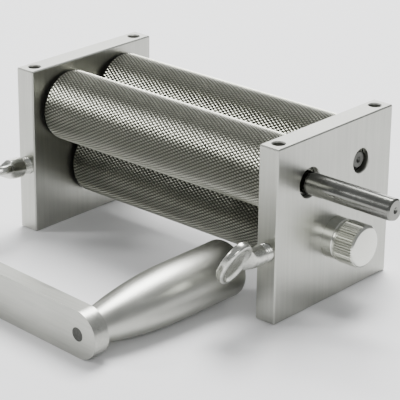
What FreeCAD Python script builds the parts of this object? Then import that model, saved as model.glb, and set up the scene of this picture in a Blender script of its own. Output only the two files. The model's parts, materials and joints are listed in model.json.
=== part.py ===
import FreeCAD, Part
import math
import os
from FreeCAD import Placement, Rotation, Vector

# A hand-cranked three-roller grain mill, with its crank lying in front of it.
# Two end plates carry two fixed upper rollers and one lower roller whose height is set
# by an eccentric adjuster in each plate. Millimetres throughout.
# +X runs along the rollers towards the drive shaft, -Y towards the clamp screws, +Z up.
# The origin is the centre of the base holes, on the plane that the end plates stand on.
# "Right" is the +X (drive) side and "left" the -X side; side is +1 or -1 for them.

# ---- End plates
plate_gap = 130.0
plate_thickness = 10.0
plate_depth = 75.0
plate_height = 76.0
plate_edge_chamfer = 0.5
tapped_hole_spacing = 63.0
top_hole_radius = 2.5      # tapped M6
base_hole_radius = 2.1     # tapped M5
tapped_hole_depth = 14.0
countersink = 0.5
drill_point_angle = 31.0

# ---- Rollers
roller_radius = 15.875
roller_end_gap = 1.5       # between a roller's end and the plate's inner face
roller_end_chamfer = 0.6
feed_gap = 2.25            # between the two upper rollers
grinding_gap = 2.75        # between the lower roller and each upper roller, as set
roller_top_clearance = 3.6  # upper rollers' crest below the plates' top edge

# ---- Shafts
drive_shaft_radius = 4.7625
axle_radius = 4.0
gap_axle_radius = 3.96
shaft_reach = 42.5         # drive shaft beyond the right plate's outer face
axle_recess = 1.5          # axle ends inside the plates' outer faces
shaft_chamfer = 0.7
centre_drill_radius = 1.4
centre_drill_depth = 1.6
flat_depth = 0.6
flat_start = 7.0           # beyond the right plate's outer face
flat_turn = 15.0           # degrees from straight down, towards the front
relief_groove_start = 1.0
relief_groove_width = 0.6
relief_groove_depth = 0.2

# ---- Ball bearings
drive_bearing = {"bore": drive_shaft_radius, "outer": 11.1125, "width": 7.142, "balls": 8}
axle_bearing = {"bore": axle_radius, "outer": 11.0, "width": 7.0, "balls": 7}
ball_radius = 1.984
ball_clearance = 0.05
track_depth = 0.5          # how deep the balls' groove is cut into each race
shield_thickness = 0.3
shield_inset = 0.3
shield_clearance = 0.25
pocket_relief = 0.3
drive_hole_radius = 6.3
axle_hole_radius = 5.2
hole_chamfer = 0.4
spacer_wall = 1.0

# ---- Eccentric gap adjusters
eccentricity = 1.1         # adjuster axis to lower roller axis
eccentric_turn = 33.0      # degrees from straight down, towards the front, as set
adjuster_radius = 9.0
adjuster_clearance = 0.05
adjuster_collar = 5.2      # smooth collar beyond the plate's outer face
neck_radius = 8.2
neck_width = 1.2
knob_radius = 9.2
knob_length = 9.8
knob_chamfer = 1.0
groove_depth = 1.5
groove_width = 5.4
bush_wall = 1.0
bush_length = 8.0
bush_clearance = 0.04
pocket_end_clearance = 1.0
washer_play = 0.3
washer_wall = 2.5

# ---- Clamp screws and their brass pads
screw_rise = 3.6           # screw axis at the plate's edge, above the adjuster axis it aims at
thread_radius = 4.0
thread_clearance = 0.05
pad_clearance = 0.15
pad_length = 3.0
nose_radius = 2.5
nose_length = 2.2
nose_tip_clearance = 0.1
screw_tip_clearance = 0.05
thread_shown = 4.5
hub_radius = 4.6
head_centre_out = 19.8     # centre of the oval head beyond the plate's front edge
head_half_width = 10.6
head_half_length = 7.2
head_thickness = 3.8
head_rim = 2.2
head_recess = 0.9
head_turn = {1: 63.0, -1: 24.0}  # degrees from +X towards +Z, as set

# ---- Crank
crank_throw = 130.0
arm_height = 20.8
arm_thickness = 7.1
arm_end = 10.5             # arm beyond the shaft bore and beyond the grip's axis
arm_corner = 10.25         # nearly a full round
arm_bore_clearance = 0.04
grub_radius = 2.5
grub_length = 4.5
grub_tip_gap = 0.6         # grub screw's tip, short of the shaft bore
grip_radius = 12.4
grip_length = 74.8
grip_neck_radius = 7.2
grip_taper_length = 44.0
grip_end_radius = 2.5
grip_neck_chamfer = 0.7
grip_bolt_radius = 3.0
grip_bolt_clearance = 0.1
bolt_head_radius = 5.0
bolt_head_height = 4.0
bolt_head_clearance = 0.4
bolt_head_recess = 1.5
hex_socket_width = 5.0
hex_socket_depth = 2.5
grip_washer_radius = 6.4
grip_washer_thickness = 0.8
grip_end_play = 0.15
crank_aside = 32.6         # grip axis from the right clamp screw's axis, as the crank lies
crank_ahead = 74.3         # arm's outer face from the plates' front edge, as the crank lies
crank_yaw = 3.3            # degrees, grip's far end swung towards the drive shaft's side

# ---- Places worked out from the sizes above
inner_face = plate_gap / 2
outer_face = inner_face + plate_thickness
plate_middle = inner_face + plate_thickness / 2
front_edge = -plate_depth / 2
upper_y = roller_radius + feed_gap / 2
upper_z = plate_height - roller_top_clearance - roller_radius
lower_z = upper_z - math.sqrt((2 * roller_radius + grinding_gap) ** 2 - upper_y ** 2)
adjuster_y = eccentricity * math.sin(math.radians(eccentric_turn))
adjuster_z = lower_z + eccentricity * math.cos(math.radians(eccentric_turn))
screw_entry = Vector(0, front_edge, adjuster_z + screw_rise)
screw_tilt = math.atan2(screw_rise, adjuster_y - front_edge)
screw_out = Vector(0, -math.cos(screw_tilt), math.sin(screw_tilt))
screw_reach = math.hypot(screw_rise, adjuster_y - front_edge)
drum_end = inner_face - roller_end_gap
groove_radius = adjuster_radius - groove_depth
drive_axis = Vector(0, -upper_y, upper_z)
idler_axis = Vector(0, upper_y, upper_z)
lower_axis = Vector(0, 0, lower_z)
adjuster_axis = Vector(0, adjuster_y, adjuster_z)

X_AXIS = Vector(1, 0, 0)
Y_AXIS = Vector(0, 1, 0)
Z_AXIS = Vector(0, 0, 1)


def block(low, high):
    """A box between two opposite corners."""
    size = high - low
    return Part.makeBox(size.x, size.y, size.z, low)


def turned(profile, centre, direction):
    """A solid turned from (distance, radius) points about an axis through centre."""
    points = [Vector(distance, 0, radius) for distance, radius in profile]
    face = Part.Face(Part.makePolygon(points + points[:1]))
    solid = face.revolve(Vector(), X_AXIS, 360)
    solid.Placement = Placement(centre, Rotation(X_AXIS, direction))
    return solid


def rod(start, end, radius, centre, direction):
    """A plain round bar from start to end along an axis through centre."""
    return turned([(start, 0), (start, radius), (end, radius), (end, 0)], centre, direction)


def ring(start, end, bore, radius, centre, direction):
    """A plain round sleeve from start to end along an axis through centre."""
    profile = [(start, bore), (start, radius), (end, radius), (end, bore)]
    return turned(profile, centre, direction)


def save(name, solids):
    """Writes one node: a single solid, or a group of separate solids."""
    shape = solids[0] if len(solids) == 1 else Part.makeCompound(solids)
    shape.exportStep("parts/" + name + ".step")


def race_radii(bearing):
    """Outside radius of the inner race, ball pitch radius, inside radius of the outer race."""
    pitch = (bearing["bore"] + bearing["outer"]) / 2
    half_space = ball_radius - track_depth
    return pitch - half_space, pitch, pitch + half_space


def ball_track(bearing, centre, middle):
    """The round groove that the balls run in, cut into both races."""
    pitch = race_radii(bearing)[1]
    return Part.makeTorus(pitch, ball_radius + ball_clearance, centre + X_AXIS * middle, X_AXIS)


def save_bearing(name, bearing, axis, side):
    """Outer race and shields stay in the plate; inner race and balls turn with the roller."""
    inner_race, pitch, outer_race = race_radii(bearing)
    outward = X_AXIS * side
    start = inner_face
    end = inner_face + bearing["width"]
    middle = side * (start + end) / 2
    track = ball_track(bearing, axis, middle)
    save(name + "_outer_race", [ring(start, end, outer_race, bearing["outer"], axis, outward).cut(track)])
    save(name + "_inner_race", [ring(start, end, bearing["bore"], inner_race, axis, outward).cut(track)])
    shields = []
    for near in (start + shield_inset, end - shield_inset - shield_thickness):
        bore = inner_race + shield_clearance
        shields.append(ring(near, near + shield_thickness, bore, outer_race, axis, outward))
    save(name + "_shields", shields)
    balls = []
    for index in range(bearing["balls"]):
        angle = 2 * math.pi * index / bearing["balls"]
        offset = Vector(middle, pitch * math.cos(angle), pitch * math.sin(angle))
        balls.append(Part.makeSphere(ball_radius, axis + offset))
    save(name + "_balls", balls)


def bearing_seat(bearing, hole_radius, axis, side):
    """Cutter for a bearing's pocket, its relief and the chamfered hole in the outer web."""
    seat_end = inner_face + bearing["width"]
    relief_end = seat_end + pocket_relief
    profile = [
        (inner_face - 1, 0),
        (inner_face - 1, bearing["outer"]),
        (seat_end, bearing["outer"]),
        (seat_end, race_radii(bearing)[2]),
        (relief_end, race_radii(bearing)[2]),
        (relief_end, hole_radius),
        (outer_face - hole_chamfer, hole_radius),
        (outer_face + 1, hole_radius + hole_chamfer + 1),
        (outer_face + 1, 0),
    ]
    return turned(profile, axis, X_AXIS * side)


def tapped_hole(centre, direction, radius):
    """Cutter for a blind tapped hole, countersunk at its mouth."""
    point = radius * math.tan(math.radians(drill_point_angle))
    profile = [
        (-1, 0),
        (-1, radius + countersink + 1),
        (countersink, radius),
        (tapped_hole_depth, radius),
        (tapped_hole_depth + point, 0),
    ]
    return turned(profile, centre, direction)


def end_plate(side, seats):
    """One end plate: bearing seats, adjuster bore, clamp screw hole and tapped holes."""
    ends = sorted([side * inner_face, side * outer_face])
    plate = block(
        Vector(ends[0], -plate_depth / 2, 0),
        Vector(ends[1], plate_depth / 2, plate_height),
    )
    plate = plate.makeChamfer(plate_edge_chamfer, plate.Edges)
    for bearing, hole_radius, axis in seats:
        plate = plate.cut(bearing_seat(bearing, hole_radius, axis, side))
    bore = adjuster_radius + adjuster_clearance
    plate = plate.cut(rod(inner_face - 1, outer_face + 1, bore, adjuster_axis, X_AXIS * side))
    aim = adjuster_axis + X_AXIS * (side * plate_middle)
    plate = plate.cut(rod(0, screw_reach + 5, thread_radius + thread_clearance, aim, screw_out))
    for end in (-1, 1):
        y = end * tapped_hole_spacing / 2
        top = Vector(side * plate_middle, y, plate_height)
        base = Vector(side * plate_middle, y, 0)
        plate = plate.cut(tapped_hole(top, -Z_AXIS, top_hole_radius))
        plate = plate.cut(tapped_hole(base, Z_AXIS, base_hole_radius))
    return plate


def drum(bore, axis):
    """A roller's drum, chamfered at both ends; its diamond knurl stays inside this envelope."""
    profile = [
        (-drum_end, bore),
        (-drum_end, roller_radius - roller_end_chamfer),
        (-drum_end + roller_end_chamfer, roller_radius),
        (drum_end - roller_end_chamfer, roller_radius),
        (drum_end, roller_radius - roller_end_chamfer),
        (drum_end, bore),
    ]
    return turned(profile, axis, X_AXIS)


def centre_drilled(shaft, axis, left_end, right_end):
    """Cuts the conical centre mark into both ends of a shaft."""
    for end, inward in ((left_end, X_AXIS), (right_end, -X_AXIS)):
        cone = [(-0.01, 0), (-0.01, centre_drill_radius), (centre_drill_depth, 0)]
        shaft = shaft.cut(turned(cone, axis + X_AXIS * end, inward))
    return shaft


def drive_shaft():
    """Stepped shaft: small journal on the left, full size from the drum to the crank end."""
    left_end = -(outer_face - axle_recess)
    right_end = outer_face + shaft_reach
    shoulder = -drum_end
    groove = outer_face + relief_groove_start
    groove_floor = drive_shaft_radius - relief_groove_depth
    profile = [
        (left_end, 0),
        (left_end, axle_radius - shaft_chamfer),
        (left_end + shaft_chamfer, axle_radius),
        (shoulder, axle_radius),
        (shoulder, drive_shaft_radius),
        (groove, drive_shaft_radius),
        (groove, groove_floor),
        (groove + relief_groove_width, groove_floor),
        (groove + relief_groove_width, drive_shaft_radius),
        (outer_face + flat_start, drive_shaft_radius),
        (right_end - shaft_chamfer, drive_shaft_radius),
        (right_end, drive_shaft_radius - shaft_chamfer),
        (right_end, 0),
    ]
    shaft = centre_drilled(turned(profile, drive_axis, X_AXIS), drive_axis, left_end, right_end)
    reach = 2 * drive_shaft_radius
    flat = block(
        Vector(outer_face + flat_start, -reach, -reach),
        Vector(right_end + 1, reach, flat_depth - drive_shaft_radius),
    )
    flat.Placement = Placement(drive_axis, Rotation(X_AXIS, -flat_turn))
    return shaft.cut(flat)


def axle(radius, half_length, axis):
    """A straight axle with chamfered, centre-drilled ends."""
    profile = [
        (-half_length, 0),
        (-half_length, radius - shaft_chamfer),
        (-half_length + shaft_chamfer, radius),
        (half_length - shaft_chamfer, radius),
        (half_length, radius - shaft_chamfer),
        (half_length, 0),
    ]
    return centre_drilled(turned(profile, axis, X_AXIS), axis, -half_length, half_length)


def gap_adjuster(side):
    """Eccentric body in the plate's bore, with a clamp groove and a knob outside."""
    groove_start = plate_middle - groove_width / 2
    groove_end = plate_middle + groove_width / 2
    collar_end = outer_face + adjuster_collar
    knob_start = collar_end + neck_width
    knob_end = knob_start + knob_length
    profile = [
        (inner_face, 0),
        (inner_face, adjuster_radius),
        (groove_start, adjuster_radius),
        (groove_start, groove_radius),
        (groove_end, groove_radius),
        (groove_end, adjuster_radius),
        (collar_end, adjuster_radius),
        (collar_end, neck_radius),
        (knob_start, neck_radius),
        (knob_start, knob_radius),
        (knob_end - knob_chamfer, knob_radius),
        (knob_end, knob_radius - knob_chamfer),
        (knob_end, 0),
    ]
    outward = X_AXIS * side
    bush_radius = gap_axle_radius + bush_clearance + bush_wall
    pocket_end = inner_face + bush_length + pocket_end_clearance
    pocket = rod(inner_face - 1, pocket_end, bush_radius, lower_axis, outward)
    return turned(profile, adjuster_axis, outward).cut(pocket)


def gap_bush(side):
    """Plain bush in the adjuster's off-centre pocket, on the lower roller's axis."""
    bore = gap_axle_radius + bush_clearance
    end = inner_face + bush_length
    return ring(inner_face, end, bore, bore + bush_wall, lower_axis, X_AXIS * side)


def clamp_pad(side):
    """Brass pad: its nose sits in the adjuster's groove, ahead of the clamp screw."""
    tip = groove_radius + nose_tip_clearance
    shoulder = tip + nose_length
    back = shoulder + pad_length
    radius = thread_radius + thread_clearance - pad_clearance
    profile = [
        (tip, 0),
        (tip, nose_radius),
        (shoulder, nose_radius),
        (shoulder, radius),
        (back, radius),
        (back, 0),
    ]
    return turned(profile, adjuster_axis + X_AXIS * (side * plate_middle), screw_out)


def thumb_screw(side):
    """Cast thumb screw: threaded shank, round hub and an oval head, recessed on both faces."""
    pad_back = groove_radius + nose_tip_clearance + nose_length + pad_length
    tip = pad_back + screw_tip_clearance
    thread_end = screw_reach + thread_shown
    hub_end = screw_reach + head_centre_out - head_half_length + head_rim / 2
    profile = [
        (tip, 0),
        (tip, thread_radius),
        (thread_end, thread_radius),
        (thread_end, hub_radius),
        (hub_end, hub_radius),
        (hub_end, 0),
    ]
    shank = turned(profile, adjuster_axis + X_AXIS * (side * plate_middle), screw_out)

    def oval(margin, low, high):
        across = head_half_width - margin
        along = head_half_length - margin
        edge = Part.Ellipse(Vector(), across, along).toShape()
        slab = Part.Face(Part.Wire([edge])).extrude(Z_AXIS * (high - low))
        slab.translate(Vector(0, -head_centre_out, low))
        return slab

    half = head_thickness / 2
    head = oval(0, -half, half)
    head = head.cut(oval(head_rim, half - head_recess, half + 1))
    head = head.cut(oval(head_rim, -half - 1, head_recess - half))
    spin = Rotation(Y_AXIS, -head_turn[side])
    raised = Rotation(X_AXIS, -math.degrees(screw_tilt))
    start = screw_entry + X_AXIS * (side * plate_middle)
    head.Placement = Placement(start, raised.multiply(spin)).multiply(head.Placement)
    return shank.fuse(head).removeSplitter()


# ---- End plates and the parts that stay with them
os.makedirs("parts", exist_ok=True)
right_seats = [
    (drive_bearing, drive_hole_radius, drive_axis),
    (axle_bearing, axle_hole_radius, idler_axis),
]
left_seats = [
    (axle_bearing, axle_hole_radius, drive_axis),
    (axle_bearing, axle_hole_radius, idler_axis),
]
save("end_plate_right", [end_plate(1, right_seats)])
save("end_plate_left", [end_plate(-1, left_seats)])
save_bearing("drive_bearing_right", drive_bearing, drive_axis, 1)
save_bearing("drive_bearing_left", axle_bearing, drive_axis, -1)
save_bearing("idler_bearing_right", axle_bearing, idler_axis, 1)
save_bearing("idler_bearing_left", axle_bearing, idler_axis, -1)

# ---- Rollers
save("drive_roller_drum", [drum(drive_shaft_radius, drive_axis)])
save("idler_roller_drum", [drum(axle_radius, idler_axis)])
save("gap_roller_drum", [drum(gap_axle_radius, lower_axis)])
save("drive_shaft", [drive_shaft()])
save("idler_axle", [axle(axle_radius, outer_face - axle_recess, idler_axis)])
save("gap_axle", [axle(gap_axle_radius, inner_face + bush_length, lower_axis)])

# ---- Spacers between each drum and what it runs against
drive_spacers = []
idler_spacers = []
gap_washers = []
for side, journal in ((1, drive_shaft_radius), (-1, axle_radius)):
    outward = X_AXIS * side
    drive_outside = journal + spacer_wall
    idler_outside = axle_radius + spacer_wall
    washer_end = inner_face - washer_play
    washer_outside = gap_axle_radius + washer_wall
    drive_spacers.append(ring(drum_end, inner_face, journal, drive_outside, drive_axis, outward))
    idler_spacers.append(ring(drum_end, inner_face, axle_radius, idler_outside, idler_axis, outward))
    gap_washers.append(ring(drum_end, washer_end, gap_axle_radius, washer_outside, lower_axis, outward))
save("drive_spacers", drive_spacers)
save("idler_spacers", idler_spacers)
save("gap_thrust_washers", gap_washers)

# ---- Gap adjusters, pads and clamp screws
for side, word in ((1, "right"), (-1, "left")):
    save("gap_adjuster_" + word, [gap_adjuster(side)])
    save("gap_bush_" + word, [gap_bush(side)])
    save("clamp_pad_" + word, [clamp_pad(side)])
    save("thumb_screw_" + word, [thumb_screw(side)])

# ---- Crank. It is drawn about the grip's axis, from the arm's outer face along +Y, and then
# laid down so that the arm's lower front edge and the grip's full radius both touch z = 0.
grip_start = arm_thickness + grip_washer_thickness + grip_end_play
grip_end = grip_start + grip_length
taper_end = grip_start + grip_taper_length
lean = math.atan(max(grip_radius - arm_height / 2, 0) / taper_end)
crank_corner = Vector(plate_middle - crank_aside, front_edge - crank_ahead, arm_height / 2 * math.cos(lean))
crank_turn = Rotation(Z_AXIS, -crank_yaw).multiply(Rotation(X_AXIS, math.degrees(lean)))
crank_place = Placement(crank_corner, crank_turn)

arm = block(
    Vector(-crank_throw - arm_end, 0, -arm_height / 2),
    Vector(arm_end, arm_thickness, arm_height / 2),
)
corners = [edge for edge in arm.Edges if abs(edge.tangentAt(edge.FirstParameter).y) > 0.9]
arm = arm.makeFillet(arm_corner, corners)
bore_centre = Vector(-crank_throw, 0, 0)
arm_bore = drive_shaft_radius + arm_bore_clearance
arm = arm.cut(rod(-1, arm_thickness + 1, arm_bore, bore_centre, Y_AXIS))
arm = arm.cut(rod(-1, arm_thickness + 1, grip_bolt_radius, Vector(), Y_AXIS))
grub_line = Vector(-crank_throw - arm_end, arm_thickness / 2, 0)
arm = arm.cut(rod(-1, arm_end, grub_radius, grub_line, X_AXIS))

grub_tip = arm_end - arm_bore - grub_tip_gap
grub_screw = rod(grub_tip - grub_length, grub_tip, grub_radius, grub_line, X_AXIS)

head_seat = grip_end - bolt_head_recess - bolt_head_height
grip_bolt = turned(
    [
        (0, 0),
        (0, grip_bolt_radius),
        (head_seat, grip_bolt_radius),
        (head_seat, bolt_head_radius),
        (head_seat + bolt_head_height, bolt_head_radius),
        (head_seat + bolt_head_height, 0),
    ],
    Vector(),
    Y_AXIS,
)
hex_radius = hex_socket_width / math.sqrt(3)
socket_floor = head_seat + bolt_head_height - hex_socket_depth
hex_points = []
for corner in range(7):
    angle = math.radians(60 * corner)
    hex_points.append(Vector(hex_radius * math.cos(angle), socket_floor, hex_radius * math.sin(angle)))
socket = Part.Face(Part.makePolygon(hex_points)).extrude(Y_AXIS * (hex_socket_depth + 1))
grip_bolt = grip_bolt.cut(socket)

grip_washer = ring(
    arm_thickness,
    arm_thickness + grip_washer_thickness,
    grip_bolt_radius,
    grip_washer_radius,
    Vector(),
    Y_AXIS,
)


def grip():
    """Turned grip: chamfered narrow end, a taper that runs smoothly out at full radius."""
    bore = grip_bolt_radius + grip_bolt_clearance
    head_bore = bolt_head_radius + bolt_head_clearance
    head_floor = head_seat - grip_end_play
    neck = Vector(grip_start + grip_neck_chamfer, 0, grip_neck_radius)
    swell = Vector(taper_end, 0, grip_radius)
    reach, rise = swell.x - neck.x, swell.z - neck.z
    sweep = (reach * reach + rise * rise) / (2 * rise)
    bulge = Vector(neck.x + reach / 2, 0, swell.z - sweep + math.sqrt(sweep * sweep - reach * reach / 4))
    shoulder = Vector(grip_end - grip_end_radius, 0, grip_radius)
    end_face = Vector(grip_end, 0, grip_radius - grip_end_radius)
    bend = grip_end_radius * (1 - math.sqrt(0.5))
    round_middle = Vector(grip_end - bend, 0, grip_radius - bend)
    start_face = Vector(grip_start, 0, grip_neck_radius - grip_neck_chamfer)
    bore_points = [
        end_face,
        Vector(grip_end, 0, head_bore),
        Vector(head_floor, 0, head_bore),
        Vector(head_floor, 0, bore),
        Vector(grip_start, 0, bore),
        start_face,
        neck,
    ]
    edges = [
        Part.Arc(neck, bulge, swell).toShape(),
        Part.LineSegment(swell, shoulder).toShape(),
        Part.Arc(shoulder, round_middle, end_face).toShape(),
    ]
    for first, second in zip(bore_points, bore_points[1:]):
        edges.append(Part.LineSegment(first, second).toShape())
    solid = Part.Face(Part.Wire(edges)).revolve(Vector(), X_AXIS, 360)
    solid.Placement = Placement(Vector(), Rotation(X_AXIS, Y_AXIS))
    return solid


crank_parts = {
    "crank_arm": arm,
    "crank_grub_screw": grub_screw,
    "grip_bolt": grip_bolt,
    "grip_washer": grip_washer,
    "crank_grip": grip(),
}
for name, solid in crank_parts.items():
    solid.Placement = crank_place.multiply(solid.Placement)
    save(name, [solid])

print("upper axes y, z", round(upper_y, 4), round(upper_z, 4))
print("lower axis z", round(lower_z, 4), "adjuster z", round(adjuster_z, 4))
print("adjuster y", round(adjuster_y, 4), "screw entry", screw_entry, "reach", round(screw_reach, 4))
print("screw tilt", round(math.degrees(screw_tilt), 4), "direction", screw_out)
print("crank lean", round(math.degrees(lean), 4), "place", crank_corner)
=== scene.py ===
import json
import math

import bmesh
import bpy
from mathutils import Matrix, Vector


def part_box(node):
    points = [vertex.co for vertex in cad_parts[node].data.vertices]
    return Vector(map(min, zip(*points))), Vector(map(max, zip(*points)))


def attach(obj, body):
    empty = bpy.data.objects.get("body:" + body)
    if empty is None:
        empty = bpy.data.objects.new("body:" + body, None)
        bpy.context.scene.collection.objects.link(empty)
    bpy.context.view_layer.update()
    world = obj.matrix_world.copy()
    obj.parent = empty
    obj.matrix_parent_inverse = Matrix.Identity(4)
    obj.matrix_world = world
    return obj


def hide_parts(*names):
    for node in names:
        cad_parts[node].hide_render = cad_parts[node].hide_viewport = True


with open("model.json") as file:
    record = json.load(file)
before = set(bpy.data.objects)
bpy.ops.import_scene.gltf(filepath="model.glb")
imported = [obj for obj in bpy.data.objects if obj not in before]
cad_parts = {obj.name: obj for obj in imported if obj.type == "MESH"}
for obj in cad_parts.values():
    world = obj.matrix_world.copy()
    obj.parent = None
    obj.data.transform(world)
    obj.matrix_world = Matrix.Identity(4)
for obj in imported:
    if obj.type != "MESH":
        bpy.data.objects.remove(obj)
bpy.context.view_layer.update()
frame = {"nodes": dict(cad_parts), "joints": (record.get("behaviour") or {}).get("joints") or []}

# ---- Camera, floor and light
# A long lens a little above the mill, a pale floor that runs back out of sight, and soft lights
# from above, from behind and from both front sides. None of it is part of the mill.
MM = 0.001
camera_azimuth = math.radians(41.42)
camera_elevation = math.radians(21.946)
camera_roll = math.radians(0.726)
camera_distance = 805.523 * MM
camera_aside = 4.834 * MM
camera_above = 27.038 * MM
lens_mm = 162.703
sensor_mm = 36.0
lens_shift = (-0.02297, -0.03389)
floor_half = 3.0
floor_gap = 0.1 * MM
floor_dark = (0.88, 0.88, 0.885, 1)
floor_light = (0.90, 0.90, 0.91, 1)
sky_colour = (0.96, 0.98, 1.0, 1)
sky_strength = 0.35
sharp_angle = math.radians(32)

back = Vector(
    (
        math.sin(camera_azimuth) * math.cos(camera_elevation),
        -math.cos(camera_azimuth) * math.cos(camera_elevation),
        math.sin(camera_elevation),
    )
)
level = Vector((0, 0, 1)).cross(back).normalized()
upright = back.cross(level)
right = level * math.cos(camera_roll) + upright * math.sin(camera_roll)
upward = upright * math.cos(camera_roll) - level * math.sin(camera_roll)
camera_place = back * camera_distance + right * camera_aside + upward * camera_above
lens = bpy.data.cameras.new("camera")
lens.lens = lens_mm
lens.sensor_width = sensor_mm
lens.shift_x, lens.shift_y = lens_shift
lens.clip_start = 0.05
lens.clip_end = 20.0
camera = bpy.data.objects.new("camera", lens)
camera_axes = Matrix((right, upward, back)).transposed().to_4x4()
camera.matrix_world = Matrix.Translation(camera_place) @ camera_axes
bpy.context.scene.collection.objects.link(camera)
bpy.context.scene.camera = camera


class Value:
    """A number, colour or vector that changes over a surface; + - and * add Math nodes."""

    def __init__(self, finish, socket):
        self.finish = finish
        self.socket = socket

    def math(self, operation, first, second):
        return self.finish.add("ShaderNodeMath", {"operation": operation}, {0: first, 1: second})

    def __add__(self, other):
        return self.math("ADD", self, other)

    def __radd__(self, other):
        return self.math("ADD", other, self)

    def __sub__(self, other):
        return self.math("SUBTRACT", self, other)

    def __rsub__(self, other):
        return self.math("SUBTRACT", other, self)

    def __mul__(self, other):
        return self.math("MULTIPLY", self, other)

    def __rmul__(self, other):
        return self.math("MULTIPLY", other, self)


class Finish:
    """A surface finish being built up in one material's nodes."""

    def __init__(self, name):
        self.material = bpy.data.materials.new(name)
        self.material.use_nodes = True
        self.tree = self.material.node_tree
        self.shader = self.tree.nodes["Principled BSDF"]
        self.place = self.add("ShaderNodeTexCoord", output="Object")

    def link(self, node, key, value):
        if isinstance(value, Value):
            self.tree.links.new(value.socket, node.inputs[key])
        else:
            node.inputs[key].default_value = value

    def add(self, kind, settings=None, inputs=None, output=0):
        """Adds one node: its settings first, then its sockets' values or links."""
        node = self.tree.nodes.new(kind)
        for key, value in (settings or {}).items():
            setattr(node, key, value)
        for key, value in (inputs or {}).items():
            self.link(node, key, value)
        return Value(self, node.outputs[output])

    def noise(self, scale, stretch=(1, 1, 1), detail=3.0, roughness=0.55, turn=(0, 0, 0)):
        """Noise that follows the piece, pulled out along an axis by a small stretch there."""
        inputs = {"Vector": self.place, "Scale": stretch, "Rotation": turn}
        spot = self.add("ShaderNodeMapping", {}, inputs)
        inputs = {"Vector": spot, "Scale": scale, "Detail": detail, "Roughness": roughness}
        return self.add("ShaderNodeTexNoise", {}, inputs)

    def ramp(self, value, low, high):
        """Spreads the part of value between low and high over 0 to 1."""
        inputs = {"Value": value, "From Min": low, "From Max": high}
        return self.add("ShaderNodeMapRange", {"interpolation_type": "SMOOTHSTEP"}, inputs)

    def blend(self, share, first, second):
        """A colour between first and second."""
        return self.add("ShaderNodeMix", {"data_type": "RGBA"}, {0: share, 6: first, 7: second}, 2)

    def surface(self, colour, roughness, metallic, relief=None, depth=0.0):
        """Sets what the surface shows; relief is a value that stands proud by depth metres."""
        self.link(self.shader, "Base Color", colour)
        self.link(self.shader, "Roughness", roughness)
        self.link(self.shader, "Metallic", metallic)
        if relief is not None:
            inputs = {"Height": relief, "Distance": depth, "Strength": 1.0}
            self.link(self.shader, "Normal", self.add("ShaderNodeBump", {}, inputs))
        return self.material


def link_piece(name, mesh, material):
    """An object at the origin for a finished mesh, smooth except at its sharp edges."""
    mesh.name = name
    mesh.materials.clear()
    mesh.materials.append(material)
    mesh.shade_smooth()
    mesh.set_sharp_from_angle(angle=sharp_angle)
    piece = bpy.data.objects.new(name, mesh)
    bpy.context.scene.collection.objects.link(piece)
    return piece


floor_finish = Finish("studio_floor")
floor_mottle = floor_finish.noise(6.0)
floor_tint = floor_finish.blend(floor_mottle, floor_dark, floor_light)
floor_finish.surface(floor_tint, 0.55, 0.0)
floor_mesh = bpy.data.meshes.new("studio_floor")
floor_corners = [(-1, -1), (1, -1), (1, 1), (-1, 1)]
floor_points = [(x * floor_half, y * floor_half, -floor_gap) for x, y in floor_corners]
floor_mesh.from_pydata(floor_points, [], [(0, 1, 2, 3)])
link_piece("studio_floor", floor_mesh, floor_finish.material)

sky = bpy.data.worlds.new("studio_sky")
sky.use_nodes = True
sky.node_tree.nodes["Background"].inputs["Color"].default_value = sky_colour
sky.node_tree.nodes["Background"].inputs["Strength"].default_value = sky_strength
bpy.context.scene.world = sky


def soft_light(name, place, aim, size, watts):
    """A flat rectangular lamp at place, turned to face aim."""
    lamp = bpy.data.lights.new(name, "AREA")
    lamp.shape = "RECTANGLE"
    lamp.size, lamp.size_y = size
    lamp.energy = watts
    light = bpy.data.objects.new(name, lamp)
    light.location = place
    light.rotation_euler = (Vector(aim) - Vector(place)).to_track_quat("-Z", "Y").to_euler()
    bpy.context.scene.collection.objects.link(light)


soft_light("light_left", (-1.0, -0.85, 0.78), aim=(0, 0, 0.03), size=(0.26, 0.26), watts=9.0)
soft_light("light_overhead", (-0.22, 0.42, 1.18), aim=(0, 0, 0.03), size=(0.6, 0.8), watts=36.0)
soft_light("light_back", (-1.05, 1.20, 0.50), aim=(-0.1, 0.2, 0.0), size=(1.4, 0.7), watts=13.0)
soft_light("light_front", (0.85, -0.95, 0.70), aim=(0.06, 0, 0.03), size=(0.6, 0.4), watts=4.5)


# ---- End plates
# Two flat plates, 10 mm thick, sawn from aluminium bar and skimmed up and down on their faces,
# with their edges broken. They are bored for the bearings and tapped for the base and hopper.
def grey(value, olive=0.92):
    """The grey of bare metal, turned towards olive by taking blue away."""
    return (value * 0.99, value, value * olive, 1)


def wear(node, material):
    """Gives a CAD node its material."""
    mesh = frame["nodes"][node].data
    mesh.materials.clear()
    mesh.materials.append(material)


def metal(name, dark, light, rough, swing, grain, stretch, depth, metallic=1.0):
    """Bare metal: fine grain drawn out by the cutter, over slow patches of tone.

    The grain's marks lie along an axis whose stretch is small, and swing the roughness.
    """
    finish = Finish(name)
    lines = finish.noise(grain, stretch, detail=4.0, roughness=0.6)
    patches = finish.noise(35.0, detail=2.0)
    tone = finish.ramp(lines * 0.6 + patches * 0.4, 0.32, 0.68)
    colour = finish.blend(tone, dark, light)
    return finish.surface(colour, rough + (lines - 0.5) * swing, metallic, lines, depth)


plate_metal = metal(
    "plate_aluminium", grey(0.41), grey(0.48), rough=0.33, swing=0.12,
    grain=900.0, stretch=(1, 1, 0.03), depth=0.010 * MM,
)
for word in ("right", "left"):
    wear("end_plate_" + word, plate_metal)

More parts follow.
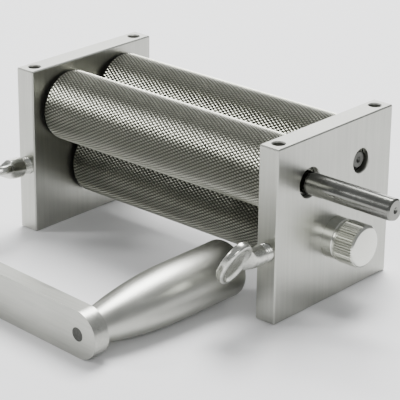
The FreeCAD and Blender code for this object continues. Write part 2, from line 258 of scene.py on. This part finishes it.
# ---- Ball bearings
# Four sealed bearings pressed into the plates from inside: hardened races and balls, ground
# bright, with thin pressed steel shields. Only slivers show beside the shafts.
bearing_metal = metal(
    "bearing_steel", grey(0.20), grey(0.28), rough=0.25, swing=0.1,
    grain=1200.0, stretch=(8, 1, 1), depth=0.004 * MM,
)
shield_metal = metal(
    "shield_steel", grey(0.06), grey(0.10), rough=0.45, swing=0.2,
    grain=800.0, stretch=(4, 1, 1), depth=0.008 * MM,
)
for roller in ("drive", "idler"):
    for word in ("right", "left"):
        seat = roller + "_bearing_" + word
        for part in ("_outer_race", "_inner_race", "_balls"):
            wear(seat + part, bearing_metal)
        wear(seat + "_shields", shield_metal)


# ---- Knurled rollers
# Three steel drums, bored for their shafts and cut all over with a coarse diamond knurl, whose
# points stand between two crossing sets of spiral grooves. The groove floors carry painted shade:
# near black at the bottom, fading out towards the crests.
def middle_and_reach(node):
    """Centre and half sizes of a CAD node."""
    low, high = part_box(node)
    return (low + high) / 2, (high - low) / 2


def skin(name, rings, loop, caps, material):
    """A closed surface through rings of points with equal counts, with its normals outward."""
    count = len(rings[0])
    points = [point for ring in rings for point in ring]
    faces = []
    for index in range(len(rings) if loop else len(rings) - 1):
        here = index * count
        there = (index + 1) % len(rings) * count
        for step in range(count):
            after = (step + 1) % count
            faces.append((here + step, here + after, there + after, there + step))
    if caps:
        faces.append(tuple(range(count)))
        faces.append(tuple(len(points) - count + step for step in range(count)))
    mesh = bpy.data.meshes.new(name)
    mesh.from_pydata([tuple(point) for point in points], [], faces)
    tidy = bmesh.new()
    tidy.from_mesh(mesh)
    bmesh.ops.recalc_face_normals(tidy, faces=tidy.faces)
    tidy.to_mesh(mesh)
    tidy.free()
    return link_piece(name, mesh, material)


def round_ring(distance, radius, centre, count):
    """A ring about a line along X through centre; distance is its X."""
    ring = []
    for step in range(count):
        angle = 2 * math.pi * step / count
        ahead, up = radius * math.cos(angle), radius * math.sin(angle)
        ring.append(Vector((distance, centre.y + ahead, centre.z + up)))
    return ring


def tooth(name, base, crest, height):
    """One cut tooth standing on z = 0: base and crest are outlines of (x, y), bottom open."""
    count = len(base)
    points = [(x, y, 0.0) for x, y in base] + [(x, y, height) for x, y in crest]
    faces = [tuple(range(count, 2 * count))]
    for step in range(count):
        after = (step + 1) % count
        faces.append((step, after, count + after, count + step))
    mesh = bpy.data.meshes.new(name)
    mesh.from_pydata(points, [], faces)
    piece = bpy.data.objects.new(name, mesh)
    bpy.context.scene.collection.objects.link(piece)
    return piece


def knurl_tree():
    """Nodes that set one tooth round a line along X, in rows that are turned by half a tooth."""
    tree = bpy.data.node_groups.new("knurl", "GeometryNodeTree")
    sockets = {}
    face = tree.interface
    face.new_socket("Geometry", in_out="OUTPUT", socket_type="NodeSocketGeometry")
    face.new_socket("Geometry", in_out="INPUT", socket_type="NodeSocketGeometry")
    for name, kind in (
        ("Tooth", "Object"), ("Metal", "Material"), ("Teeth round", "Int"), ("Rows", "Int"),
        ("First row", "Float"), ("Row spacing", "Float"), ("Row turn", "Float"),
        ("Radius", "Float"), ("Axis", "Vector"),
    ):
        socket = face.new_socket(name, in_out="INPUT", socket_type="NodeSocket" + kind)
        sockets[name] = socket.identifier
    given = tree.nodes.new("NodeGroupInput")

    def add(kind, settings=None, inputs=None, output=0):
        node = tree.nodes.new(kind)
        for key, value in (settings or {}).items():
            setattr(node, key, value)
        for key, value in (inputs or {}).items():
            if isinstance(value, bpy.types.NodeSocket):
                tree.links.new(value, node.inputs[key])
            else:
                node.inputs[key].default_value = value
        return node.outputs[output]

    def sum_of(operation, first, second):
        return add("ShaderNodeMath", {"operation": operation}, {0: first, 1: second})

    around, rows = given.outputs["Teeth round"], given.outputs["Rows"]
    points = add("GeometryNodePoints", {}, {"Count": sum_of("MULTIPLY", around, rows)})
    index = add("GeometryNodeInputIndex")
    row = sum_of("FLOOR", sum_of("DIVIDE", sum_of("ADD", index, 0.5), around), 0.0)
    column = sum_of("SUBTRACT", index, sum_of("MULTIPLY", row, around))
    turned = sum_of("ADD", column, sum_of("MULTIPLY", row, given.outputs["Row turn"]))
    angle = sum_of("MULTIPLY", sum_of("DIVIDE", turned, around), 2 * math.pi)
    row_place = sum_of("MULTIPLY", row, given.outputs["Row spacing"])
    along = sum_of("ADD", given.outputs["First row"], row_place)
    up = sum_of("MULTIPLY", sum_of("COSINE", angle, 0.0), given.outputs["Radius"])
    minus_radius = sum_of("MULTIPLY", given.outputs["Radius"], -1.0)
    aside = sum_of("MULTIPLY", sum_of("SINE", angle, 0.0), minus_radius)
    spot = add("ShaderNodeCombineXYZ", {}, {0: along, 1: aside, 2: up})
    middle = given.outputs["Axis"]
    spot = add("ShaderNodeVectorMath", {"operation": "ADD"}, {0: spot, 1: middle})
    placed = add("GeometryNodeSetPosition", {}, {"Geometry": points, "Position": spot})
    one_tooth = add("GeometryNodeObjectInfo", {}, {"Object": given.outputs["Tooth"]}, "Geometry")
    lean = add("ShaderNodeCombineXYZ", {}, {0: angle})
    inputs = {"Points": placed, "Instance": one_tooth, "Rotation": lean}
    teeth = add("GeometryNodeInstanceOnPoints", {}, inputs)
    both = tree.nodes.new("GeometryNodeJoinGeometry")
    tree.links.new(given.outputs["Geometry"], both.inputs[0])
    tree.links.new(teeth, both.inputs[0])
    whole = add("GeometryNodeRealizeInstances", {}, {"Geometry": both.outputs[0]})
    inputs = {"Geometry": whole, "Material": given.outputs["Metal"]}
    whole = add("GeometryNodeSetMaterial", {}, inputs)
    result = tree.nodes.new("NodeGroupOutput")
    tree.links.new(whole, result.inputs[0])
    return tree, sockets


def knurled(core, sizes):
    """Cuts the knurl: sets the tree's inputs, then keeps the result as a plain mesh."""
    cutter = core.modifiers.new("knurl", "NODES")
    cutter.node_group = knurl_nodes
    for name, value in sizes.items():
        cutter[knurl_sockets[name]] = value
    bpy.context.view_layer.update()
    evaluated = core.evaluated_get(bpy.context.evaluated_depsgraph_get())
    mesh = bpy.data.meshes.new_from_object(evaluated)
    core.modifiers.clear()
    core.data = mesh
    mesh.set_sharp_from_angle(angle=sharp_angle)
    return core


knurl_nodes, knurl_sockets = knurl_tree()
grooves_round = 64
groove_spacing = 2.70 * MM
groove_depth = 0.50 * MM
crest_share = 0.22
unshaded_top_share = 0.25
steel_relief = 0.006 * MM
tooth_sunk = 0.02 * MM
edge = 0.35 * MM
# The near black of the painted shade at the knurl's groove floors.
painted_groove_shade = grey(0.05, 0.80)
worn_dark, worn_light = grey(0.30, 0.85), grey(0.40, 0.85)
drum_steps = 128
roller_bores = {"drive_roller": 4.7625 * MM, "idler_roller": 4.0 * MM, "gap_roller": 3.96 * MM}

for body, bore in roller_bores.items():
    node = body + "_drum"
    axis, reach = middle_and_reach(node)
    radius = reach.y
    floor_radius = radius - groove_depth
    roller_finish = Finish("roller_steel_" + body)
    inputs = {"Vector": roller_finish.place, "Location": (0, -axis.y, -axis.z), "Scale": (0, 1, 1)}
    from_axis = roller_finish.add("ShaderNodeMapping", {}, inputs)
    settings = {"operation": "LENGTH"}
    height = roller_finish.add("ShaderNodeVectorMath", settings, {0: from_axis}, "Value")
    # Painted shade: darkest at the groove floors, gone in the top share of each groove.
    out_of_painted_groove_shade = roller_finish.ramp(height, floor_radius, radius - groove_depth * unshaded_top_share)
    patches = roller_finish.noise(60.0)
    worn = roller_finish.blend(patches, worn_dark, worn_light)
    roller_colour = roller_finish.blend(out_of_painted_groove_shade, painted_groove_shade, worn)
    grain = roller_finish.noise(2500.0)
    roller_finish.surface(roller_colour, 0.42 - out_of_painted_groove_shade * 0.12, 1.0, grain, steel_relief)
    profile = [
        (-reach.x, bore), (-reach.x, floor_radius - edge), (edge - reach.x, floor_radius),
        (reach.x - edge, floor_radius), (reach.x, floor_radius - edge), (reach.x, bore),
    ]
    rings = [round_ring(distance, size, axis, drum_steps) for distance, size in profile]
    steel = roller_finish.material
    drum = skin(body + "_knurled", rings, loop=True, caps=False, material=steel)
    half_round = math.pi * radius / grooves_round
    rows = int(2 * reach.x / (groove_spacing / 2)) - 1
    diamond = [(groove_spacing / 2, 0), (0, half_round), (-groove_spacing / 2, 0), (0, -half_round)]
    crest = [(x * crest_share, y * crest_share) for x, y in diamond]
    point = tooth("diamond", diamond, crest, groove_depth + tooth_sunk)
    knurled(drum, {
        "Tooth": point, "Metal": steel, "Teeth round": grooves_round, "Rows": rows,
        "First row": -(rows - 1) * groove_spacing / 4, "Row spacing": groove_spacing / 2,
        "Row turn": 0.5, "Radius": floor_radius - tooth_sunk, "Axis": Vector((0, axis.y, axis.z)),
    })
    bpy.data.objects.remove(point)
    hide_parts(node)
    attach(drum, body)

# ---- Shafts, spacers and thrust washers
# Ground steel bars pressed through the drums, with plain steel rings between each drum and its
# bearings. The drive shaft is bright, and stands out on the right with a flat for the crank.
# The two axles are coloured much darker than the drive shaft.
shaft_metal = metal(
    "shaft_steel", grey(0.19), grey(0.24), rough=0.19, swing=0.04,
    grain=1500.0, stretch=(1, 0.05, 0.05), depth=0.001 * MM,
)
washer_metal = metal(
    "washer_steel", grey(0.40), grey(0.50), rough=0.36, swing=0.15,
    grain=900.0, stretch=(3, 1, 1), depth=0.008 * MM,
)
axle_metal = metal(
    "axle_steel", grey(0.07), grey(0.12), rough=0.38, swing=0.1,
    grain=900.0, stretch=(1, 0.2, 0.2), depth=0.006 * MM,
)
wear("drive_shaft", shaft_metal)
for node in ("idler_axle", "gap_axle"):
    wear(node, axle_metal)
for node in ("drive_spacers", "idler_spacers", "gap_thrust_washers", "grip_washer"):
    wear(node, washer_metal)

# ---- Gap adjusters
# Turned aluminium eccentrics: a plain body in the plate, a smooth collar and an undercut, then
# a knob with a straight knurl that is rolled into it. The gap roller's bush sits off centre.
adjuster_metal = metal(
    "adjuster_aluminium", grey(0.62), grey(0.70), rough=0.19, swing=0.05,
    grain=1300.0, stretch=(0.05, 1, 1), depth=0.001 * MM,
)
knob_ribs = 50
rib_height = 0.5 * MM
rib_crest = 0.30
lower_axis = middle_and_reach("gap_roller_drum")[0]
bush_outside = 5.0 * MM
pocket_depth = 9.0 * MM
knob_length = 9.8 * MM
end_middle = 0.6 * MM
body_clearance = 0.2 * MM
pad_groove = (2.3 * MM, 7.7 * MM)
pad_groove_cut = 1.5 * MM
undercut = 1.2 * MM
undercut_cut = 0.8 * MM
bevel = 0.3 * MM
knob_edge = [(0.7 * MM, 0.0), (0.25 * MM, 0.35 * MM), (0.0, 0.9 * MM)]
rib_foot_ends = (0.15 * MM, 0.5 * MM)
rib_crest_ends = (0.5 * MM, 1.0 * MM)
knob_steps = 100

for side, word in ((1, "right"), (-1, "left")):
    low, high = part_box("gap_adjuster_" + word)
    axis = (low + high) / 2
    knob_radius = (high.y - low.y) / 2
    body_radius = knob_radius - body_clearance
    inner, outer = (low.x, high.x) if side > 0 else (high.x, low.x)
    knob_start = outer - side * knob_length
    core_radius = knob_radius - rib_height
    outline = [
        (inner + side * pocket_depth, bush_outside, lower_axis),
        (inner, bush_outside, lower_axis),
        (inner, body_radius - bevel, axis),
        (inner + side * bevel, body_radius, axis),
        (inner + side * pad_groove[0], body_radius, axis),
        (inner + side * pad_groove[0], body_radius - pad_groove_cut, axis),
        (inner + side * pad_groove[1], body_radius - pad_groove_cut, axis),
        (inner + side * pad_groove[1], body_radius, axis),
        (knob_start - side * (undercut + bevel), body_radius, axis),
        (knob_start - side * undercut, body_radius - bevel, axis),
        (knob_start - side * undercut, body_radius - undercut_cut, axis),
        (knob_start, body_radius - undercut_cut, axis),
        (knob_start, core_radius - bevel, axis),
        (knob_start + side * bevel, core_radius, axis),
    ]
    for back, cut in knob_edge:
        outline.append((outer - side * back, core_radius - cut, axis))
    outline.append((outer, end_middle, axis))
    rings = [round_ring(distance, size, centre, knob_steps) for distance, size, centre in outline]
    knob = skin("gap_adjuster_knob_" + word, rings, loop=False, caps=True, material=adjuster_metal)
    half_round = math.pi * knob_radius / knob_ribs
    around = [-half_round, half_round, half_round, -half_round]
    outlines = []
    for (near, far), share in ((rib_foot_ends, 1.0), (rib_crest_ends, rib_crest)):
        start, end = sorted((knob_start + side * near, outer - side * far))
        outlines.append([(x, y * share) for x, y in zip((end, end, start, start), around)])
    base, crest = outlines
    rib = tooth("rib", base, crest, rib_height + tooth_sunk)
    knurled(knob, {
        "Tooth": rib, "Metal": adjuster_metal, "Teeth round": knob_ribs, "Rows": 1,
        "First row": 0.0, "Row spacing": 0.0, "Row turn": 0.0,
        "Radius": core_radius - tooth_sunk, "Axis": Vector((0, axis.y, axis.z)),
    })
    bpy.data.objects.remove(rib)
    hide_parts("gap_adjuster_" + word)
    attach(knob, "adjuster_" + word)

# ---- Bushes and clamp pads
# Plain bronze bushes carry the gap roller's axle. Small brass pads sit between each clamp screw
# and the groove of its adjuster, so that the screw doesn't mark the aluminium.
bush_metal = metal(
    "bush_bronze", (0.42, 0.25, 0.10, 1), (0.55, 0.34, 0.15, 1), rough=0.38, swing=0.15,
    grain=1200.0, stretch=(1, 0.1, 0.1), depth=0.006 * MM,
)
pad_metal = metal(
    "pad_brass", (0.55, 0.38, 0.14, 1), (0.68, 0.50, 0.22, 1), rough=0.34, swing=0.15,
    grain=1200.0, stretch=(1, 0.1, 1), depth=0.006 * MM,
)
for word in ("right", "left"):
    wear("gap_bush_" + word, bush_metal)
    wear("clamp_pad_" + word, pad_metal)

# ---- Clamp thumb screws
# Die cast zinc screws with a rolled thread, a round neck and an oval head. The head's faces are
# recessed inside a rounded rim, and the casting is bright, soft edged and slightly lumpy.
casting_relief = 0.05 * MM
zinc = Finish("cast_zinc")
lumps = zinc.noise(420.0, detail=2.0)
specks = zinc.noise(1800.0, detail=3.0)
zinc_tone = zinc.ramp(lumps * 0.7 + specks * 0.3, 0.35, 0.65)
zinc_colour = zinc.blend(zinc_tone, grey(0.46), grey(0.62))
zinc.surface(zinc_colour, 0.20 + specks * 0.10, 1.0, lumps + specks * 0.2, casting_relief)
thread_pitch = 1.25 * MM
thread_radius = 3.95 * MM
thread_depth = 0.6 * MM
thread_inside = 24.6 * MM
thread_shown = 4.5 * MM
head_out = 19.8 * MM
head_wide = 10.6 * MM
head_long = 7.2 * MM
head_thick = 3.8 * MM
head_steps = 64
neck_steps = 48
thread_steps = 40
rows_per_turn = 8
flank_slope = 1.5
root_flat = 0.2
casting_grain = 0.24 * MM
head_turns = {"right": math.radians(63.0), "left": math.radians(24.0)}
joints = {joint["name"]: joint for joint in frame["joints"]}

# Half of the head's section, from its recess out over the rim: how far in from the edge in mm,
# and how high as a share of half the thickness.
head_section = [
    (6.4, 0.50), (3.6, 0.50), (3.0, 0.55), (2.5, 0.75), (2.0, 1.0),
    (1.5, 1.0), (0.9, 1.0), (0.35, 0.86), (0.06, 0.5),
]
# The neck from the thread out into the head, in mm: distance out, half width, half thickness.
neck_outline = [
    (4.3, 3.6, 3.6), (4.5, 4.4, 4.4), (4.8, 4.6, 4.6), (9.0, 4.6, 4.6),
    (11.0, 4.7, 4.3), (12.6, 5.4, 3.4), (14.0, 6.6, 2.3), (15.4, 7.4, 1.1),
]


def oval_ring(inset, height):
    """A ring round the head, drawn in by inset, in the plane that is height off its middle."""
    ring = []
    for step in range(head_steps):
        angle = 2 * math.pi * step / head_steps
        across = (head_wide - inset) * math.cos(angle)
        along = (head_long - inset) * math.sin(angle)
        ring.append(Vector((across, -head_out + along, height)))
    return ring


def across_ring(distance, wide, thick):
    """An oval ring across the screw, distance out from the plate's edge."""
    ring = []
    for step in range(neck_steps):
        angle = 2 * math.pi * step / neck_steps
        ring.append(Vector((wide * math.cos(angle), -distance, thick * math.sin(angle))))
    return ring


for word in ("right", "left"):
    pose = joints["thumb_screw_" + word + "_turn"]
    entry = Vector(pose["pos_m"])
    outward = Vector(pose["axis"]).normalized()
    tilt = math.atan2(outward.z, -outward.y)
    turned = Matrix.Rotation(-tilt, 4, "X") @ Matrix.Rotation(-head_turns[word], 4, "Y")
    place = Matrix.Translation(entry) @ turned
    upper = [(inset * MM, head_thick / 2 * share) for inset, share in head_section]
    lower = [(inset, -height) for inset, height in reversed(upper)]
    rings = [oval_ring(inset, height) for inset, height in upper + [(0.0, 0.0)] + lower]
    head = skin("head", rings, loop=False, caps=True, material=zinc.material)
    rings = [across_ring(*(size * MM for size in sizes)) for sizes in neck_outline]
    neck = skin("neck", rings, loop=False, caps=True, material=zinc.material)
    casting = bmesh.new()
    casting.from_mesh(head.data)
    casting.from_mesh(neck.data)
    casting.to_mesh(head.data)
    casting.free()
    bpy.data.objects.remove(neck)
    melt = head.modifiers.new("melt", "REMESH")
    melt.mode = "VOXEL"
    melt.voxel_size = casting_grain
    soften = head.modifiers.new("soften", "SMOOTH")
    soften.factor = 0.5
    soften.iterations = 4
    bpy.context.view_layer.update()
    evaluated = head.evaluated_get(bpy.context.evaluated_depsgraph_get())
    cast_mesh = bpy.data.meshes.new_from_object(evaluated)
    steps_long = int((thread_inside + thread_shown) / thread_pitch * rows_per_turn)
    rings = []
    for row in range(steps_long + 1):
        distance = -thread_inside + (thread_inside + thread_shown) * row / steps_long
        taper = min(1.0, row / rows_per_turn)
        ring = []
        for step in range(thread_steps):
            turn_share = step / thread_steps
            phase = (distance / thread_pitch - turn_share) % 1.0
            rise = 1 - abs(2 * phase - 1)
            flank = min(1.0, max(0.0, rise * flank_slope - root_flat))
            radius = thread_radius - thread_depth + thread_depth * flank * taper
            angle = 2 * math.pi * turn_share
            ring.append(Vector((radius * math.cos(angle), -distance, radius * math.sin(angle))))
        rings.append(ring)
    thread = skin("thread", rings, loop=False, caps=True, material=zinc.material)
    whole = bmesh.new()
    whole.from_mesh(cast_mesh)
    whole.from_mesh(thread.data)
    whole.transform(place)
    mesh = bpy.data.meshes.new("thumb_screw")
    whole.to_mesh(mesh)
    whole.free()
    bpy.data.objects.remove(thread)
    bpy.data.objects.remove(head)
    screw = link_piece("thumb_screw_cast_" + word, mesh, zinc.material)
    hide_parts("thumb_screw_" + word)
    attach(screw, "screw_" + word)

# ---- Crank arm
# A flat aluminium bar with rounded corners and lightly broken edges, drawn along its length.
# It is bored for the drive shaft at one end, where a black grub screw enters through the end.
arm_metal = metal(
    "arm_aluminium", grey(0.38), grey(0.45), rough=0.32, swing=0.2,
    grain=900.0, stretch=(0.03, 1, 1), depth=0.020 * MM, metallic=0.9,
)
weld_distance = 0.002 * MM
flat_angle = math.radians(1)
edge_break = 0.4 * MM
corner_angle = math.radians(50)
arm_mesh = frame["nodes"]["crank_arm"].data.copy()
merged = bmesh.new()
merged.from_mesh(arm_mesh)
bmesh.ops.remove_doubles(merged, verts=merged.verts, dist=weld_distance)
bmesh.ops.dissolve_limit(
    merged, angle_limit=flat_angle, verts=merged.verts, edges=merged.edges
)
merged.to_mesh(arm_mesh)
merged.free()
arm = link_piece("crank_arm_bar", arm_mesh, arm_metal)
broken = arm.modifiers.new("broken_edges", "BEVEL")
broken.width = edge_break
broken.segments = 2
broken.limit_method = "ANGLE"
broken.angle_limit = corner_angle
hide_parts("crank_arm")
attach(arm, "crank")
bolt_metal = metal(
    "bolt_steel", grey(0.045), grey(0.075), rough=0.35, swing=0.15,
    grain=900.0, stretch=(1, 1, 1), depth=0.010 * MM,
)
for node in ("crank_grub_screw", "grip_bolt"):
    wear(node, bolt_metal)

# ---- Grip
# Turned and polished aluminium, tapered in a slow curve towards the arm and free to spin on its
# bolt. Handling has left short scuffs across the polish, and fine rings from the turning show.
polish_relief = 0.006 * MM
scuff_turn = (0.3, 0.2, 0.9)
polish = Finish("grip_aluminium")
turning = polish.noise(1400.0, (0.05, 1, 0.05))
haze = polish.noise(90.0, detail=4.0)
scratches = polish.noise(260.0, (1, 0.12, 1), detail=5.0, roughness=0.7, turn=scuff_turn)
scuffed = polish.ramp(scratches, 0.60, 0.70) * polish.ramp(haze, 0.45, 0.6)
grip_tone = polish.blend(haze, grey(0.42), grey(0.52))
grip_colour = polish.blend(scuffed, grip_tone, grey(0.46))
grip_rough = 0.34 + haze * 0.08 + scuffed * 0.16
polish.surface(grip_colour, grip_rough, 1.0, turning - scuffed * 0.6, polish_relief)
wear("crank_grip", polish.material)
